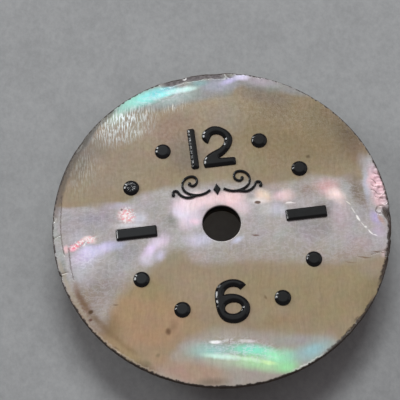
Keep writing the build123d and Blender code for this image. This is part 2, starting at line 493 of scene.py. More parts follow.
# Borders of the pale areas, from 9 o'clock to 3 o'clock
BAND_TOP = [
    (-9, 2.05), (-7.6, 1.95), (-6.2, 1.72), (-5.0, 1.95), (-3.8, 2.15), (-2.4, 2.35), (-0.5, 2.35),
    (1.4, 2.2), (2.8, 1.85), (4.2, 1.85), (5.4, 2.0), (6.4, 1.85), (7.1, 1.7), (7.6, 1.4), (7.9, 1.9),
    (8.3, 2.8), (9, 3.5),
]
BAND_FOOT = [
    (-9, -3.2), (-8, -4.4), (-7, -4.7), (-6.3, -3.8), (-5.4, -2.7), (-4.4, -2.1), (-3.4, -1.6),
    (-2.4, -1.3), (-1.4, -2.0), (0.4, -2.1), (2, -2.2), (3.6, -2.45), (5.4, -2.8), (7, -2.85),
    (9, -2.6),
]
TOP_HAZE = [
    (-9, 4.2), (-6.8, 5.4), (-5.6, 6.9), (-4.6, 7.1), (-2.6, 7.15), (-1.2, 7.25), (0.4, 7.45),
    (1.5, 7.45), (2.0, 7.95), (2.7, 7.7), (3.6, 7.4), (4.6, 7.15), (5.5, 6.95), (6.4, 6.9), (9, 6.5),
]
FOOT_HAZE = [
    (-9, -8.5), (-5, -8.2), (-3.6, -7.0), (-2.6, -6.25), (-1.2, -5.85), (0.4, -6.0), (2, -6.45),
    (3.4, -6.75), (4.8, -6.9), (5.4, -7.4), (9, -8.5),
]

# Colours in the pale band: the nacre's own colours with painted pearly sheen
BAND = [
    (1.5, -1.7, 5.5, 0.7, -3, 0.2, 0.6, (160, 149, 138)),
    # left of the 9 o'clock bar
    (-7.0, 1.0, 2.5, 1.3, 0, 0.2, 0.8, (162, 157, 160)),
    (-6.7, 1.15, 1.5, 0.5, -4, 0.0, 0.8, (154, 151, 158)),
    (-7.7, 0.1, 0.9, 0.6, 10, 0.0, 0.7, (190, 186, 198)),
    (-8.74, -0.2, 0.3, 2.3, 2, 0.5, 0.9, (166, 167, 164)),
    (-7.5, -3.2, 1.62, 1.75, 25, 0.0, 0.9, (145, 131, 115)),
    (-6.6, -2.7, 1.6, 1.1, 10, 0.0, 0.8, (146, 137, 130)),
    (-7.6, -1.9, 1.08, 1.22, 10, 0.1, 0.8, (181, 178, 186)),
    (-7.3, -1.0, 1.35, 0.88, 14, 0.1, 0.8, (204, 198, 220)),
    (-7.3, -0.62, 0.61, 0.38, 12, 0.0, 0.9, (222, 210, 250)),
    (-6.35, -0.5, 0.94, 0.46, 10, 0.0, 0.95, (210, 204, 250)),
    (-8.0, -0.42, 0.35, 0.23, 20, 0.2, 1.0, (255, 172, 190)),
    (-7.6, -0.2, 0.49, 0.2, 24, 0.1, 0.95, (255, 200, 206)),
    (-7.08, -0.04, 0.54, 0.3, 4, 0.3, 0.95, (255, 222, 222)),
    (-7.92, -0.36, 0.24, 0.07, 26, 0.2, 0.9, (255, 124, 140)),
    (-8.36, -0.42, 0.16, 0.32, -10, 0.2, 0.9, (240, 200, 202)),
    (-5.2, -1.05, 1.15, 0.68, 8, 0.1, 0.8, (153, 151, 156)),
    (-5.6, -0.5, 0.8, 0.45, 8, 0.0, 0.8, (176, 176, 204)),
    (-8.6, -1.6, 0.3, 0.9, 6, 0.3, 0.85, (136, 138, 134)),
    (-5.8, -1.8, 1.35, 0.54, 10, 0.0, 0.7, (160, 158, 158)),
    (-7.9, -3.9, 0.8, 1.6, 30, 0.2, 0.75, (128, 105, 80)),
    (-7.0, -0.75, 1.6, 0.55, 12, 0.0, 0.7, (214, 204, 240)),
    # round the 9 o'clock bar
    (-5.0, 1.08, 0.6, 0.7, 20, 0.1, 0.9, (246, 204, 210)),
    (-4.88, 1.02, 0.34, 0.4, 30, 0.0, 0.9, (255, 224, 226)),
    (-5.2, 1.7, 1.49, 0.3, -8, 0.0, 0.7, (188, 182, 196)),
    (-4.35, 0.9, 0.68, 0.57, 0, 0.0, 0.8, (206, 206, 218)),
    (-4.9, 0.5, 1.22, 0.22, 0, 0.1, 0.7, (220, 220, 226)),
    (-3.8, 1.9, 1.22, 0.54, 0, 0.0, 0.7, (176, 168, 168)),
    (-3.2, 0.9, 0.8, 1.3, 8, 0.1, 0.8, (164, 159, 156)),
    (-3.95, -1.0, 0.85, 0.36, 52, 0.2, 0.95, (232, 212, 246)),
    (-3.4, -0.6, 0.8, 0.6, 0, 0.0, 0.9, (234, 216, 242)),
    (-4.2, -1.5, 0.6, 0.55, 60, 0.0, 0.9, (212, 204, 224)),
    (-3.5, -1.35, 0.6, 0.5, 30, 0.0, 0.7, (208, 200, 228)),
    (-2.7, -1.7, 0.94, 0.68, 30, 0.0, 0.8, (150, 139, 120)),
    # round the hand hole
    (-1.75, 0.75, 1.35, 1.28, 0, 0.2, 0.85, (232, 218, 234)),
    (-2.0, 0.95, 0.68, 0.54, -30, 0.0, 0.8, (232, 228, 246)),
    (-1.4, 1.45, 1.3, 0.75, 10, 0.2, 0.95, (255, 228, 232)),
    (-0.7, 1.45, 1.22, 0.68, 0, 0.1, 0.9, (255, 218, 220)),
    (-1.35, 0.3, 0.41, 0.35, 0, 0.0, 0.8, (255, 214, 228)),
    (-1.35, -0.75, 1.28, 0.57, -6, 0.1, 0.85, (204, 200, 222)),
    (-2.6, 0.45, 0.55, 0.75, 0, 0.1, 0.9, (139, 135, 131)),
    (0.72, 1.35, 0.97, 0.68, -12, 0.2, 0.95, (254, 212, 214)),
    (1.25, 0.8, 0.74, 0.74, 0, 0.0, 0.8, (232, 210, 216)),
    (0.75, -1.05, 0.61, 0.22, 32, 0.0, 0.8, (204, 208, 228)),
    (-1.6, -1.7, 0.68, 0.54, 0, 0.0, 0.6, (178, 162, 154)),
    (0.4, 1.5, 1.6, 0.5, 0, 0.1, 0.7, (246, 212, 214)),
    (-1.9, 1.2, 0.8, 0.9, 0, 0.0, 0.6, (240, 224, 236)),
    # right of the hole
    (4.3, -2.2, 2.6, 0.8, -6, 0.0, 0.6, (160, 148, 130)),
    (2.6, 0.5, 1.0, 0.6, 0, 0.0, 0.6, (206, 200, 204)),
    (2.4, 1.32, 0.7, 0.57, -25, 0.1, 0.85, (248, 222, 196)),
    (2.15, 1.02, 0.68, 0.3, -8, 0.1, 0.8, (240, 230, 224)),
    (3.5, 1.2, 0.95, 0.44, 0, 0.1, 0.9, (236, 206, 208)),
    (3.2, 1.7, 1.22, 0.35, 0, 0.0, 0.7, (176, 160, 152)),
    (3.78, 0.8, 0.41, 0.08, -4, 0.3, 0.9, (240, 236, 234)),
    (3.1, 0.4, 0.68, 0.61, 0, 0.1, 0.8, (192, 192, 208)),
    (4.8, 1.35, 1.08, 0.7, 0, 0.0, 0.8, (149, 131, 119)),
    (4.9, -0.8, 2.2, 1.1, 0, 0.0, 0.8, (145, 141, 138)),
    (3.4, -1.4, 2.16, 1.22, 0, 0.0, 0.5, (164, 160, 156)),
    (5.9, 1.34, 0.98, 0.78, -20, 0.1, 0.95, (206, 162, 161)),
    (6.28, 0.84, 0.76, 0.54, -28, 0.1, 1.0, (252, 222, 219)),
    (6.4, 0.32, 0.5, 0.34, -30, 0.0, 0.8, (234, 216, 212)),
    (6.3, -0.1, 0.85, 0.85, -20, 0.1, 0.7, (192, 178, 182)),
    (7.05, 1.7, 0.68, 0.54, 0, 0.0, 0.7, (150, 138, 130)),
    (7.52, 0.75, 0.64, 1.75, 6, 0.2, 0.9, (126, 115, 99)),
    (5.4, 0.1, 0.8, 0.8, 0, 0.1, 0.8, (132, 125, 121)),
    (7.5, -0.3, 0.68, 0.94, 15, 0.0, 0.7, (168, 166, 168)),
    (8.02, 1.2, 0.26, 1.4, -4, 0.1, 0.85, (186, 186, 202)),
    (8.2, 2.5, 0.61, 0.94, 14, 0.1, 0.8, (168, 162, 166)),
    (8.52, 1.1, 0.57, 1.69, 2, 0.4, 0.95, (230, 191, 199)),
    (8.2, -0.7, 0.41, 0.74, 14, 0.0, 0.9, (186, 170, 212)),
    (8.48, -0.85, 0.2, 0.57, 24, 0.1, 0.85, (182, 150, 138)),
    (8.2, -1.6, 0.54, 0.81, 10, 0.0, 0.8, (188, 174, 194)),
    (7.2, -2.1, 1.35, 0.68, 0, 0.0, 0.7, (172, 158, 158)),
    (6.2, -2.6, 1.8, 0.6, 0, 0.0, 0.6, (156, 141, 124)),
    (6.4, -1.0, 0.81, 1.22, 0, 0.0, 0.6, (182, 168, 172)),
    (8.3, -2.75, 0.22, 0.3, -10, 0.0, 0.7, (208, 190, 190)),
]

# Green and blue glow near the rim: the nacre's iridescent colour with painted sheen
GLOW = [
    (3.3, 7.25, 2.4, 0.8, -20, 0.1, 0.75, (116, 104, 91)),
    (-2.5, -8.0, 2.6, 0.85, -14, 0.3, 0.9, (171, 145, 127)),
    (-4.2, -7.0, 1.5, 0.6, -35, 0.1, 0.8, (166, 140, 114)),
    (-4.85, -7.45, 1.0, 0.34, -38, 0.1, 0.8, (124, 106, 86)),
    (-1.6, -8.62, 1.3, 0.34, -4, 0.1, 0.8, (130, 116, 100)),
    (-1.8, -6.6, 1.5, 0.4, -5, 0.0, 0.6, (166, 184, 176)),
    (-5.0, 7.0, 1.1, 0.7, 42, 0.0, 0.8, (184, 200, 184)),
    (-4.1, 7.68, 1.5, 0.62, 28, 0.1, 0.9, (160, 230, 212)),
    (-3.0, 7.96, 1.5, 0.6, 16, 0.2, 0.95, (146, 238, 230)),
    (-2.3, 8.2, 1.2, 0.4, 10, 0.1, 0.9, (112, 206, 216)),
    (-1.6, 7.72, 1.9, 0.6, 8, 0.0, 0.65, (166, 194, 190)),
    (-2.0, 8.05, 1.1, 0.26, 11, 0.2, 0.9, (156, 248, 244)),
    (-1.1, 8.16, 1.2, 0.26, 5, 0.2, 0.9, (204, 252, 244)),
    (0.9, 8.2, 1.5, 0.6, -2, 0.2, 0.85, (158, 162, 176)),
    (-0.2, 8.45, 0.8, 0.3, 0, 0.1, 0.7, (120, 168, 172)),
    (1.5, 8.38, 0.75, 0.26, 14, 0.1, 0.9, (198, 192, 232)),
    (2.25, 8.52, 0.66, 0.3, -10, 0.2, 1.0, (226, 222, 255)),
    (3.2, 8.15, 1.4, 0.5, -18, 0.1, 0.8, (168, 158, 168)),
    (-1.3, -7.0, 1.9, 0.58, -7, 0.0, 0.8, (157, 212, 204)),
    (-0.5, -7.65, 2.0, 0.62, -13, 0.0, 0.7, (180, 198, 172)),
    (0.7, -7.2, 1.7, 0.5, -13, 0.1, 0.9, (140, 240, 210)),
    (1.1, -7.95, 2.0, 0.64, -15, 0.1, 0.8, (176, 234, 174)),
    (1.8, -7.7, 1.25, 0.56, -24, 0.0, 0.95, (166, 255, 202)),
    (2.5, -7.7, 0.9, 0.6, -24, 0.0, 0.8, (156, 220, 186)),
    (2.3, -8.3, 1.0, 0.5, 0, 0.1, 0.85, (160, 228, 170)),
    (3.7, -7.6, 1.7, 0.8, 16, 0.0, 0.95, (152, 192, 198)),
    (3.2, -7.0, 1.9, 0.45, -4, 0.0, 0.7, (160, 156, 156)),
    (-0.9, -7.34, 1.5, 0.22, -13, 0.1, 0.9, (212, 252, 234)),
    (0.5, -7.66, 1.3, 0.18, -16, 0.1, 0.8, (206, 250, 206)),
    (1.4, -7.96, 0.6, 0.16, -16, 0.2, 0.9, (206, 255, 180)),
    (-1.15, -6.52, 0.42, 0.13, -6, 0.3, 1.0, (252, 252, 250)),
    (-0.55, -6.5, 0.4, 0.12, 4, 0.2, 0.7, (206, 206, 206)),
    (0.45, -6.66, 0.62, 0.14, -12, 0.3, 0.8, (216, 214, 210)),
]

# White creases: a bright broken line near 3 o'clock, and single scratches under the rim at the top
CREASES = [
    (6.86, 0.32, 0.24, 0.06, -52, 0.3, 0.8, (226, 222, 212)),
    (7.05, -0.15, 0.3, 0.05, -68, 0.3, 0.8, (222, 220, 216)),
    (7.23, -0.62, 0.26, 0.07, -68, 0.4, 1.0, (244, 242, 238)),
    (7.42, -0.98, 0.2, 0.05, -60, 0.3, 0.8, (222, 220, 216)),
    (7.56, -1.16, 0.12, 0.06, -40, 0.3, 0.9, (240, 238, 234)),
    (7.76, -1.5, 0.26, 0.05, -54, 0.4, 0.95, (240, 238, 236)),
    (7.98, -1.7, 0.16, 0.05, -30, 0.3, 0.9, (236, 232, 234)),
    (-3.28, 7.0, 0.045, 0.5, -8, 0.2, 0.8, (226, 222, 214)),
    (-2.04, 7.18, 0.04, 0.24, -8, 0.2, 0.7, (214, 214, 200)),
    (-1.8, 7.15, 0.045, 0.34, -8, 0.2, 0.8, (222, 220, 206)),
    (-1.24, 7.12, 0.04, 0.34, -8, 0.2, 0.6, (204, 196, 182)),
    (-1.1, -1.8, 0.03, 0.42, 2, 0.2, 0.5, (206, 194, 188)),
]

# Chip on the ledge that catches the light
GLINT = [(-0.95, 8.87, 0.16, 0.14, 0, 0.4, 1.0, (255, 255, 255))]

# Brown specks, stains and dirty lines
STAINS = [
    (-8.0, -2.75, 0.3, 0.8, 4, 0.1, 0.6, (140, 114, 102)),
    (-7.84, -3.25, 0.26, 0.8, 22, 0.0, 0.75, (112, 86, 66)),
    (-7.58, -3.78, 0.28, 0.6, 36, 0.0, 0.7, (116, 90, 64)),
    (-7.38, -4.1, 0.22, 0.17, 20, 0.3, 0.95, (78, 58, 38)),
    (-7.44, -4.52, 0.16, 0.12, 30, 0.2, 0.9, (92, 54, 46)),
    (-7.12, -4.55, 0.3, 0.7, 38, 0.0, 0.7, (112, 90, 64)),
    (-6.7, -5.1, 0.3, 0.75, 38, 0.0, 0.6, (120, 97, 70)),
    (-6.18, -5.72, 0.28, 0.75, 42, 0.0, 0.55, (126, 102, 74)),
    (-5.58, -6.36, 0.24, 0.75, 50, 0.0, 0.5, (126, 104, 76)),
    (-4.72, -7.22, 0.16, 0.34, 56, 0.1, 0.5, (128, 116, 88)),
    (-6.06, -3.86, 0.26, 0.035, -4, 0.3, 0.8, (100, 80, 58)),
    (-3.5, -5.65, 0.22, 0.28, 0, 0.2, 0.8, (96, 70, 50)),
    (-3.22, -5.4, 0.36, 0.5, -40, 0.0, 0.45, (124, 98, 76)),
    (-4.18, -6.85, 0.2, 0.16, 20, 0.1, 0.55, (116, 104, 80)),
    (-5.2, 1.44, 0.09, 0.09, 0, 0.3, 0.8, (92, 74, 70)),
    (2.05, 0.95, 0.22, 0.12, -4, 0.5, 0.95, (100, 78, 66)),
    (1.7, -0.92, 0.26, 0.08, -12, 0.3, 0.9, (116, 92, 84)),
    (5.14, 3.28, 0.17, 0.15, 0, 0.2, 0.85, (92, 76, 52)),
    (7.48, 4.48, 0.14, 0.12, 30, 0.2, 0.7, (88, 70, 56)),
    (7.7, 3.45, 0.14, 0.16, 0, 0.0, 0.5, (104, 80, 62)),
    (1.75, -4.42, 0.09, 0.18, 10, 0.1, 0.6, (102, 82, 56)),
    (-2.55, 5.6, 0.1, 0.24, 0, 0.0, 0.5, (118, 96, 80)),
    (-0.42, -6.55, 0.04, 0.26, -14, 0.2, 0.6, (122, 106, 98)),
    (8.02, -2.68, 0.52, 0.05, -13, 0.3, 0.8, (112, 88, 68)),
    (7.2, -2.87, 0.52, 0.055, -13, 0.3, 0.75, (120, 97, 73)),
    (6.45, -3.06, 0.46, 0.05, -14, 0.2, 0.55, (130, 107, 80)),
    (8.74, -0.48, 0.15, 0.42, 12, 0.5, 0.95, (92, 82, 74)),
]

# Dirt, painted shade and painted highlights along the rim: patch that picks the stretch, nearest and
# furthest distance inside the rim, strength and screen colour
RIM_STRETCHES = [
    ((-7.7, 4.2, 1.0, 3.4, -27, 0.5), (0.02, 0.44), 0.78, (94, 86, 78)),
    ((-7.6, 4.6, 1.0, 3.6, -30, 0.6), (0.0, 0.13), 0.85, (62, 56, 52)),
    ((-6.0, 6.4, 1.0, 2.2, -44, 0.4), (0.02, 0.32), 0.72, (94, 92, 86)),
    ((-8.6, 2.2, 0.6, 1.4, -8, 0.4), (0.0, 0.36), 0.5, (126, 114, 108)),
    ((-8.4, -2.8, 1.0, 2.4, 20, 0.6), (0.1, 0.34), 0.6, (172, 162, 146)),
    ((-5.6, -6.6, 3.6, 1.2, -42, 0.7), (0.07, 0.18), 0.5, (172, 160, 146)),
    ((4.1, -7.8, 2.2, 0.8, 28, 0.4), (0.07, 0.14), 0.8, (212, 216, 210)),
    ((8.5, -2.4, 0.9, 2.8, -14, 0.6), (0.0, 0.25), 0.95, (50, 40, 36)),
    ((5.8, -6.6, 2.4, 1.0, 44, 0.6), (0.0, 0.18), 0.9, (50, 42, 38)),
    ((8.6, 1.0, 0.6, 2.2, 0, 0.6), (0.0, 0.12), 0.8, (74, 54, 52)),
]

# Stretches that start nearer to the rim than this reach right up to it
RIM_LINE = 0.05


def layer(shade, where, colour, patches):
    """Colour with patches laid over it, one after the other."""
    for x, y, rx, ry, turn, core, strength, screen in patches:
        mask = shade.patch(where, x, y, rx, ry, turn, core, strength)
        colour = shade.mix(mask, colour, tone(*screen))
    return colour


def pale_areas(shade, broad, drift, colour):
    """Pale band across the middle and haze at the top and the bottom, nacre colour with painted sheen;
    also gives the band's mask.
    """
    haze = shade.above(broad, TOP_HAZE, 0.22)
    colour = shade.mix(haze, colour, tone(138, 137, 133))
    haze = shade.math("SUBTRACT", 1.0, shade.above(broad, FOOT_HAZE, 0.35))
    colour = shade.mix(shade.times(haze, 0.85), colour, tone(166, 160, 152))
    crossing = shade.split(drift)[0]
    crisp_left = shade.fit(crossing, -6, -2, 0.12, 0.36)
    soft_left = shade.fit(crossing, -6, -3, 1.0, 0.5)
    over_foot = shade.above(drift, BAND_FOOT, soft_left)
    over_top = shade.above(drift, BAND_TOP, crisp_left)
    band = shade.math("SUBTRACT", over_foot, over_top)
    return shade.mix(band, colour, tone(170, 165, 163)), band


def scratch_and_glint_field(shade):
    """White upright scratches, close together, at the upper left, their white a painted highlight; also
    gives the mask of their haze, a painted sheen.
    """
    thin = shade.noise(shade.stretch(shade.lean(shade.flat), (17.0, 2.0, 1)), 1.0, 2, 0.55)
    lines = shade.fit(thin, 0.48, 0.58)
    field = shade.warp(shade.flat, 1.3, 0.25)
    bright = shade.patch(field, -4.8, 6.6, 1.7, 1.0, 14, 0.2)
    all_over = shade.patch(field, -4.6, 6.4, 2.4, 1.4, 20, 0.4, 0.5)
    left = shade.patch(field, -7.1, 4.0, 1.4, 2.2, -20, 0.2, 0.12)
    right = shade.patch(field, -1.8, 7.1, 1.3, 0.6, 4, 0.2, 0.16)
    strongest = shade.most(shade.most(bright, right), shade.most(all_over, left))
    return shade.times(lines, strongest), all_over


def crinkles(shade, where):
    """Fine bright crinkles in the nacre, as thin winding lines."""
    value = shade.noise(shade.stretch(where, (1.0, 2.0, 1), 35), 1.8, 4, 0.65)
    ridge = shade.math("ABSOLUTE", shade.math("SUBTRACT", value, 0.5))
    return shade.fit(ridge, 0.0, 0.05, 1, 0)


def sparkle(shade, colour):
    """Red and white glints, close together, in the two pink glows at the left."""
    glints = shade.noise(shade.flat, 7.0, 2, 0.6)
    above_bar = shade.patch(shade.flat, -4.95, 1.08, 0.62, 0.66, 20, 0.3)
    by_crack = shade.patch(shade.flat, -7.45, -0.18, 1.0, 0.3, 18, 0.4)
    where = shade.most(above_bar, by_crack)
    red = shade.times(where, shade.fit(glints, 0.54, 0.62, 0, 0.7))
    colour = shade.mix(red, colour, tone(255, 136, 146))
    white = shade.times(where, shade.fit(glints, 0.49, 0.42, 0, 0.9))
    return shade.mix(white, colour, tone(255, 244, 244))


def rim_dirt_shade_and_light(shade, colour, gap):
    """Stretches of dirt, painted shade and painted highlight along the rim, and a dark line of dirt and
    painted shade on it; also gives the line's mask.
    """
    wander = shade.fit(shade.noise(shade.flat, 5.0, 4, 0.6), 0.3, 0.7, 0.04, -0.06)
    ragged = shade.math("ADD", gap, wander)
    # The stretches lay dirt, painted shade and painted highlights along the rim
    for stretch, (low, high), strength, screen in RIM_STRETCHES:
        along = shade.patch(shade.flat, *stretch, strength)
        across = shade.fit(ragged, (low + high) / 2, high, 1, 0)
        if low > RIM_LINE:
            across = shade.times(across, shade.fit(ragged, low - 0.03, low + 0.02))
        colour = shade.mix(shade.times(along, across), colour, tone(*screen))
    # Dark line round the rim: dirt and painted shade of its side
    line = shade.fit(ragged, 0.01, 0.09, 1, 0)
    return shade.mix(line, colour, tone(56, 48, 44)), line


def nacre():
    """Nacre: tan ground, a pale band and coloured glow with painted sheen, fine upright streaks, flecks
    and stains, painted glints and highlights, and painted shade at the rim and in the hole.
    """
    shade = Shade("nacre")
    broad = shade.warp(shade.flat, 0.7, 0.25)
    drift = shade.warp(broad, 2.2, 0.09)
    fine = shade.warp(shade.flat, 3.5, 0.05)
    gap, crack, worn, ledge, side = map(shade.stored, ("rim_gap", "crack", "worn", "ledge", "side"))

    colour = layer(shade, broad, tone(153, 138, 114), GROUND)
    colour, band = pale_areas(shade, broad, drift, colour)
    colour = layer(shade, drift, colour, BAND)
    colour = layer(shade, fine, colour, GLOW)

    streaks = shade.noise(shade.stretch(shade.lean(drift), (6.0, 0.7, 1)), 1.2, 5, 0.7)
    clouds = shade.noise(broad, 1.1, 5, 0.6, colour=True)
    grain = shade.noise(shade.flat, 5.0, 4, 0.6)
    colour = shade.mix(1.0, colour, shade.mix(0.25, (1.17, 1.17, 1.17, 1), clouds), "MULTIPLY")
    colour = shade.vary(colour, streaks, 0.13)
    colour = shade.vary(colour, grain, 0.06)

    lines = shade.times(crinkles(shade, drift), shade.times(band, 0.16))
    left = shade.patch(shade.flat, -7.3, -1.1, 1.5, 1.1, 20, 0.2, 0.5)
    lines = shade.most(lines, shade.times(crinkles(shade, fine), left))
    foot = shade.patch(shade.flat, 0.2, -7.1, 2.8, 0.9, -14, 0.3, 0.45)
    top = shade.patch(shade.flat, -2.2, 7.95, 2.4, 0.6, 12, 0.3, 0.4)
    lines = shade.most(lines, shade.times(crinkles(shade, shade.flat), shade.most(foot, top)))
    colour = shade.mix(lines, colour, tone(232, 230, 242))
    colour = sparkle(shade, colour)
    scratches_and_glints, haze = scratch_and_glint_field(shade)
    # Painted sheen over the scratched area, then the scratches painted white as highlights
    colour = shade.mix(shade.times(haze, 0.4), colour, tone(148, 151, 155))
    colour = shade.mix(scratches_and_glints, colour, tone(236, 248, 250))
    colour = layer(shade, fine, colour, CREASES)
    colour = layer(shade, fine, colour, STAINS)

    broken = shade.mix(shade.fit(grain, 0.4, 0.6), tone(84, 78, 80), tone(116, 110, 112))
    colour = shade.mix(shade.times(ledge, 0.9), colour, broken)
    colour = layer(shade, shade.flat, colour, GLINT)
    colour, line = rim_dirt_shade_and_light(shade, colour, gap)
    colour = shade.mix(shade.times(crack, 0.8), colour, tone(86, 68, 60))
    layers = shade.noise(shade.vector("MULTIPLY", shade.place, (1, 1, 22)), 1.0, 3)
    colour = shade.mix(side, colour, shade.mix(layers, tone(40, 32, 28), tone(92, 78, 64)))
    # Painted shade: the wall of the hand hole darkened nearly to black
    by_hole = shade.fit(shade.length(shade.flat), HOLE_R + 0.02, HOLE_R + 0.2, 1, 0)
    colour = shade.mix(shade.times(side, by_hole), colour, tone(14, 10, 12))

    relief = shade.math("ADD", shade.times(streaks, 0.5), shade.times(grain, 0.4))
    normal = shade.bump(relief, 0.008, 0.5)
    normal = shade.bump(scratches_and_glints, 0.02, 0.6, normal)
    rough = shade.math("ADD", shade.fit(grain, 0.3, 0.7, 0.14, 0.22), shade.times(worn, 0.2))
    dull = shade.most(shade.most(line, side), shade.most(crack, ledge))
    rough = shade.math("ADD", rough, shade.times(dull, 0.5))
    return shade.finish(Base_Color=colour, Roughness=rough, Normal=normal, IOR=1.35)


# ---------------------------------------- raised marks

# Marks by the start of their names: width of the bevelled edge and size of the remeshing voxels
MARK_EDGES = {
    "numeral": (0.18, 0.016),
    "marker_dot": (0.18, 0.016),
    "marker_bar": (0.12, 0.016),
    "ornament": (0.05, 0.014),
}

# Slope of the bevelled edges, and the largest share of a mark's height that they take away
BEVEL_SLOPE, BEVEL_SHARE = 0.55, 0.8

# A mark's outline is read at this height over the face, give or take the second number
OUTLINE_LEVEL, OUTLINE_BAND = 0.03, 0.01

# How far the marks' lower edges are sunk into the pearl
MARK_SINK = 0.06

# Dot whose top is rough and glints
ROUGH_DOT = "marker_dot_10"


def enamel():
    """Black enamel with fine pits: satin on top and glossy along its edge, with painted shade darkening
    its edge and painted light greying its tops towards 9 o'clock.
    """
    shade = Shade("black_enamel")
    mottle = shade.noise(shade.place, 4.0, 4, 0.6)
    pits = shade.noise(shade.place, 16.0, 2, 0.5)
    top = shade.mix(shade.fit(mottle, 0.35, 0.7), tone(5, 7, 8), tone(12, 15, 17))
    # Painted light: the tops are painted greyer towards 9 o'clock, as lit from the left
    top = shade.mix(shade.fit(shade.split(shade.place)[0], 1, -5, 0, 0.8), top, tone(32, 35, 37))
    # Painted shade: the enamel darkens to near black towards its outline
    colour = shade.mix(shade.fit(shade.stored("edge"), 0.0, 0.5), top, tone(3, 4, 5))
    rough = shade.fit(shade.stored("polish"), 0.12, 0.25, 0.8, 0.08)
    normal = shade.bump(pits, 0.003, 0.25)
    return shade.finish(Base_Color=colour, Roughness=rough, Normal=normal, IOR=1.42)


def get_points(mesh):
    """Places of a mesh's points, as rows of x, y and z."""
    points = np.empty(len(mesh.vertices) * 3)
    mesh.vertices.foreach_get("co", points)
    return points.reshape(-1, 3)


def modified(source, *settings):
    """Mesh that the modifiers make of a mesh, without leaving an object behind."""
    work = bpy.data.objects.new("work", source)
    bpy.context.scene.collection.objects.link(work)
    for kind, values in settings:
        modifier = work.modifiers.new(kind, kind)
        for name, value in values.items():
            setattr(modifier, name, value)
    evaluated = work.evaluated_get(bpy.context.evaluated_depsgraph_get())
    mesh = bpy.data.meshes.new_from_object(evaluated)
    bpy.data.objects.remove(work)
    return mesh


def build_mark(node, material):
    """Raised mark with the CAD node's outline, bevelled and rounded over as poured enamel is."""
    bevel, voxel = next(sizes for start, sizes in MARK_EDGES.items() if node.startswith(start))
    cad = frame["nodes"][node].data.copy()
    points = get_points(cad) / MM
    low = points[:, 2] < FACE_Z + 0.001
    points[low, 2] -= MARK_SINK
    cad.vertices.foreach_set("co", points.ravel())
    mesh = modified(cad, ("REMESH", {"mode": "VOXEL", "voxel_size": voxel}),
                    ("SMOOTH", {"factor": 0.5, "iterations": 5}))
    bpy.data.meshes.remove(cad)
    points, edge = bevel_mark(get_points(mesh), bevel)
    points = shape_mark(node, points)
    faces = [tuple(polygon.vertices) for polygon in mesh.polygons]
    bpy.data.meshes.remove(mesh)
    piece = make_piece("enamel_" + node, points, faces, material)
    # The edge number also paints shade on the enamel's outline
    store(piece, "edge", edge)
    store(piece, "polish", np.maximum(edge, node == ROUGH_DOT))
    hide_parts(node)


def bevel_mark(points, width):
    """Slopes the top of a mark down to its outline over a width.

    Also gives a number for each point, which is 1 on the outline and 0 where the slope ends.
    """
    outline = points[np.abs(points[:, 2] - FACE_Z - OUTLINE_LEVEL) < OUTLINE_BAND]
    tree = KDTree(len(outline))
    for index, (x, y, _) in enumerate(outline):
        tree.insert((x, y, 0), index)
    tree.balance()
    edge = np.array([tree.find((x, y, 0))[2] for x, y, _ in points])
    edge = np.clip(1 - edge / width, 0, 1)
    x, y = points[:, 0], points[:, 1]
    uneven = 1 + 0.06 * np.sin(16 * x + 2 * np.sin(7 * y)) * np.sin(13 * y + 1)
    above = np.maximum(points[:, 2] - FACE_Z, 0)
    points[:, 2] -= np.minimum(BEVEL_SLOPE * width * edge * uneven, BEVEL_SHARE * above)
    return points, edge


def shape_mark(node, points):
    """Small unevenness of hand-finished enamel; the 1 is ragged at its left, and one dot is rough."""
    x, y, z = points.T
    lift = np.clip((z - FACE_Z) / 0.1, 0, 1)
    ripple = 0.0025 * np.sin(4 * x + 2 * np.sin(3 * y)) * np.cos(5 * y + 2 * np.sin(3 * x))
    z = z + ripple * lift
    if node == "numeral_one":
        left, right = x.min(), x.max()
        side = np.clip(1 - (x - left) / (0.45 * (right - left)), 0, 1)
        teeth = np.sin(40 * y + 2 * np.sin(3 * y)) * 0.6 + np.sin(23 * y + 1.3) * 0.4
        x = x + side * (0.014 * teeth + 0.006)
        z = z - side * lift * (0.022 + 0.012 * teeth)
    if node == ROUGH_DOT:
        grit = np.sin(26 * x + 3 * np.sin(11 * y)) * np.sin(29 * y + 3 * np.sin(13 * x))
        z = z + 0.0035 * lift * grit
    return np.stack([x, y, z], axis=1)


# ---------------------------------------- plate, feet and glue

# Metals are a little less than wholly metallic, for their tarnish
METALLIC = 0.95

# Points round a foot, and the length of its end that is nipped out of round and how much
FOOT_AROUND = 48
NIP_LENGTH, NIP_DEPTH = 0.3, 0.02


def turned_brass():
    """Turned brass, tarnished in patches, with fine rings about the dial's centre and painted shade
    round the hole.
    """
    shade = Shade("turned_brass")
    rings = shade.math("SINE", shade.times(shade.length(shade.flat), 60.0))
    tarnish = shade.noise(shade.place, 0.8, 5, 0.65)
    colour = shade.mix(shade.fit(tarnish, 0.35, 0.7), (0.60, 0.42, 0.17, 1), (0.30, 0.19, 0.08, 1))
    # Painted shade: the brass darkened nearly to black round the hole
    hole_shade = shade.fit(shade.length(shade.flat), HOLE_R + 0.01, HOLE_R + 0.25, 0.95, 0)
    colour = shade.mix(hole_shade, colour, (0.02, 0.016, 0.014, 1))
    rough = shade.fit(tarnish, 0.3, 0.7, 0.24, 0.5)
    normal = shade.bump(rings, 0.004, 0.5)
    return shade.finish(Base_Color=colour, Metallic=METALLIC, Roughness=rough, Normal=normal)


